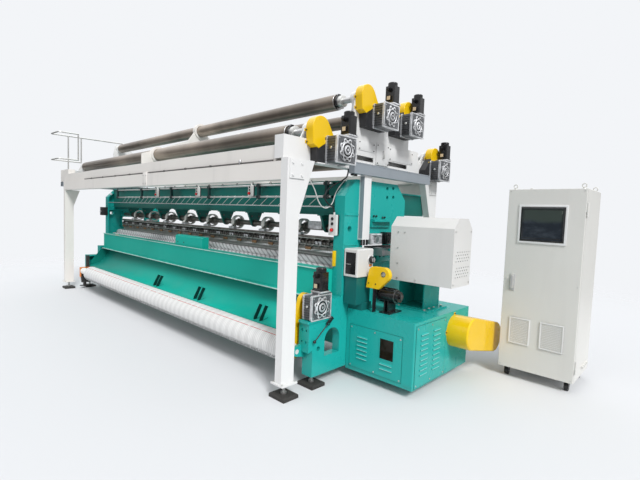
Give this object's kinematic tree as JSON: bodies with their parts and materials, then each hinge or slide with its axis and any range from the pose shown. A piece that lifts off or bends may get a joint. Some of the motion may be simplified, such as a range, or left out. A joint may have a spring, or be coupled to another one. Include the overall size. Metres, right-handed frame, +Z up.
{
  "type": "warp knitting machine",
  "caption": "Wide warp knitting machine with a beam gantry over it, geared let-off drives, a cloth batching roll, a vented drive housing and a separate control cabinet with a screen.",
  "frame": {"origin": "centre of the underside of the front column's levelling pad at the drive end, on the floor", "axes": "+Z up; +X along the machine to the drive end, which is its right end seen from the front; +Y to the back"},
  "size_m": [8.093, 2.8053, 2.8753],
  "materials": {
    "teal_paint": "semi-gloss",
    "white_paint": "semi-gloss",
    "grey_paint": "satin",
    "yellow_paint": "gloss",
    "black_paint": "satin",
    "dark_steel": "satin",
    "bright_steel": "polished",
    "aluminium": "satin",
    "green_paint": "satin",
    "roller_grey": "satin",
    "cloth": "knitted",
    "foot_rubber": "matte",
    "switch_plastic": "matte",
    "red_plastic": "gloss",
    "black_plastic": "matte",
    "cable_black": "matte",
    "cable_white": "matte",
    "cabinet_paint": "fine texture",
    "screen": "gloss"
  },
  "bodies": {
    "machine": {"column_front_right": "white_paint", "column_front_left": "white_paint", "column_rear_right": "white_paint", "column_rear_left": "white_paint", "levelling_feet": "foot_rubber", "front_top_beam": "white_paint", "rear_top_beam": "white_paint", "cross_head_right": "white_paint", "cross_head_left": "white_paint", "worm_gearboxes": "aluminium", "servo_motors": "black_paint", "chain_guards": "yellow_paint", "chain_cases": "black_paint", "end_frame_right": "teal_paint", "end_frame_left": "teal_paint", "main_beam": "teal_paint", "trough_beam": "teal_paint", "base_beam": "teal_paint", "take_up_guard": "black_paint", "roll_bracket_left": "black_paint", "switch_rails": "black_paint", "switch_boxes": "switch_plastic", "drive_housing": "teal_paint", "housing_panels": "teal_paint", "motor_guard": "yellow_paint", "main_motor": "green_paint", "pedestal": "teal_paint", "pattern_cover": "grey_paint", "lubricator": "grey_paint", "pump_motor": "black_paint", "pump_guard": "yellow_paint", "wiring_duct": "white_paint", "cross_duct": "grey_paint", "cable_black": "cable_black", "cable_white": "cable_white", "railing": "bright_steel", "walkway_channels": "grey_paint", "cabinet_body": "cabinet_paint"},
    "beam_shaft_front_low": {"beam_shaft_front_low": "dark_steel"},
    "beam_shaft_front_high": {"beam_shaft_front_high": "dark_steel"},
    "beam_shaft_rear_high": {"beam_shaft_rear_high": "dark_steel"},
    "beam_shaft_rear_low": {"beam_shaft_rear_low": "dark_steel"},
    "main_shaft": {"main_shaft": "dark_steel"},
    "guide_bar_carriage": {"guide_bar_carriage": "aluminium"},
    "shog_bar": {"shog_bar": "bright_steel"},
    "needle_bar": {"needle_bar": "aluminium"},
    "take_down_roller_front": {"take_down_roller_front": "roller_grey"},
    "take_down_roller_middle": {"take_down_roller_middle": "roller_grey"},
    "take_down_roller_rear": {"take_down_roller_rear": "roller_grey"},
    "batch_roll": {"batch_roll": "cloth"},
    "press_roller": {"press_roller": "bright_steel"},
    "tension_lever": {"tension_lever": "black_paint"},
    "stop_button_1": {"stop_button_1": "red_plastic"},
    "stop_button_2": {"stop_button_2": "red_plastic"},
    "stop_button_3": {"stop_button_3": "red_plastic"},
    "stop_button_4": {"stop_button_4": "red_plastic"},
    "lubricator_knob": {"lubricator_knob": "black_plastic"},
    "cabinet_door": {"cabinet_door": "cabinet_paint", "cabinet_screen": "screen"},
    "cabinet_handle": {"cabinet_handle": "black_plastic"}
  },
  "joints": [
    {"name": "front_low_spin", "type": "hinge", "parent": "machine", "child": "beam_shaft_front_low", "pos_m": [-1, 0.288, 2.276], "axis": [1, 0, 0], "continuous": true},
    {"name": "front_high_spin", "type": "hinge", "parent": "machine", "child": "beam_shaft_front_high", "pos_m": [-1, 0.924, 2.698], "axis": [1, 0, 0], "continuous": true},
    {"name": "rear_high_spin", "type": "hinge", "parent": "machine", "child": "beam_shaft_rear_high", "pos_m": [-1, 1.655, 2.693], "axis": [1, 0, 0], "continuous": true},
    {"name": "rear_low_spin", "type": "hinge", "parent": "machine", "child": "beam_shaft_rear_low", "pos_m": [-1, 2.295, 2.288], "axis": [1, 0, 0], "continuous": true},
    {"name": "main_shaft_spin", "type": "hinge", "parent": "machine", "child": "main_shaft", "pos_m": [-1, 1.17, 0.62], "axis": [1, 0, 0], "continuous": true},
    {"name": "take_down_front_spin", "type": "hinge", "parent": "machine", "child": "take_down_roller_front", "pos_m": [-1, 0.765, 0.985], "axis": [1, 0, 0], "continuous": true},
    {"name": "take_down_middle_spin", "type": "hinge", "parent": "machine", "child": "take_down_roller_middle", "pos_m": [-1, 0.862, 1.052], "axis": [1, 0, 0], "continuous": true},
    {"name": "take_down_rear_spin", "type": "hinge", "parent": "machine", "child": "take_down_roller_rear", "pos_m": [-1, 0.985, 0.984], "axis": [1, 0, 0], "continuous": true},
    {"name": "batch_roll_spin", "type": "hinge", "parent": "machine", "child": "batch_roll", "pos_m": [-1, 0.19, 0.332], "axis": [1, 0, 0], "continuous": true},
    {"name": "press_roller_spin", "type": "hinge", "parent": "machine", "child": "press_roller", "pos_m": [-1, 0.362, 0.345], "axis": [1, 0, 0], "continuous": true},
    {"name": "guide_bar_swing", "type": "hinge", "parent": "machine", "child": "guide_bar_carriage", "pos_m": [-1, 0.98, 1.405], "axis": [1, 0, 0], "range_deg": [-8, 8]},
    {"name": "shog_slide", "type": "slide", "parent": "machine", "child": "shog_bar", "axis": [1, 0, 0], "range_m": [-0.015, 0.015]},
    {"name": "needle_bar_lift", "type": "slide", "parent": "machine", "child": "needle_bar", "axis": [0, 0, 1], "range_m": [-0.01, 0.01]},
    {"name": "tension_lever_turn", "type": "hinge", "parent": "machine", "child": "tension_lever", "pos_m": [0.068, 0.452, 0.566], "axis": [1, 0, 0], "range_deg": [-30, 25]},
    {"name": "stop_button_1_push", "type": "slide", "parent": "machine", "child": "stop_button_1", "axis": [0, 1, 0], "range_m": [0, 0.005], "stiffness_N_per_m": 900},
    {"name": "stop_button_2_push", "type": "slide", "parent": "machine", "child": "stop_button_2", "axis": [0, 1, 0], "range_m": [0, 0.005], "stiffness_N_per_m": 900},
    {"name": "stop_button_3_push", "type": "slide", "parent": "machine", "child": "stop_button_3", "axis": [0, 1, 0], "range_m": [0, 0.005], "stiffness_N_per_m": 900},
    {"name": "stop_button_4_push", "type": "slide", "parent": "machine", "child": "stop_button_4", "axis": [0, 1, 0], "range_m": [0, 0.005], "stiffness_N_per_m": 900},
    {"name": "lubricator_knob_turn", "type": "hinge", "parent": "machine", "child": "lubricator_knob", "pos_m": [0.22, 0.85, 1.14], "axis": [1, 0, 0], "range_deg": [-150, 150]},
    {"name": "cabinet_door_swing", "type": "hinge", "parent": "machine", "child": "cabinet_door", "pos_m": [1.722, 1.962, 1], "axis": [0, 0, 1], "range_deg": [0, 110]},
    {"name": "cabinet_handle_turn", "type": "hinge", "parent": "cabinet_door", "child": "cabinet_handle", "pos_m": [1.137, 1.94, 1.006], "axis": [0, 1, 0], "range_deg": [0, 90]}
  ],
  "couplings": [
    {"joint": "take_down_middle_spin", "follows": "take_down_front_spin", "ratio": -1},
    {"joint": "take_down_rear_spin", "follows": "take_down_front_spin", "ratio": 1}
  ]
}
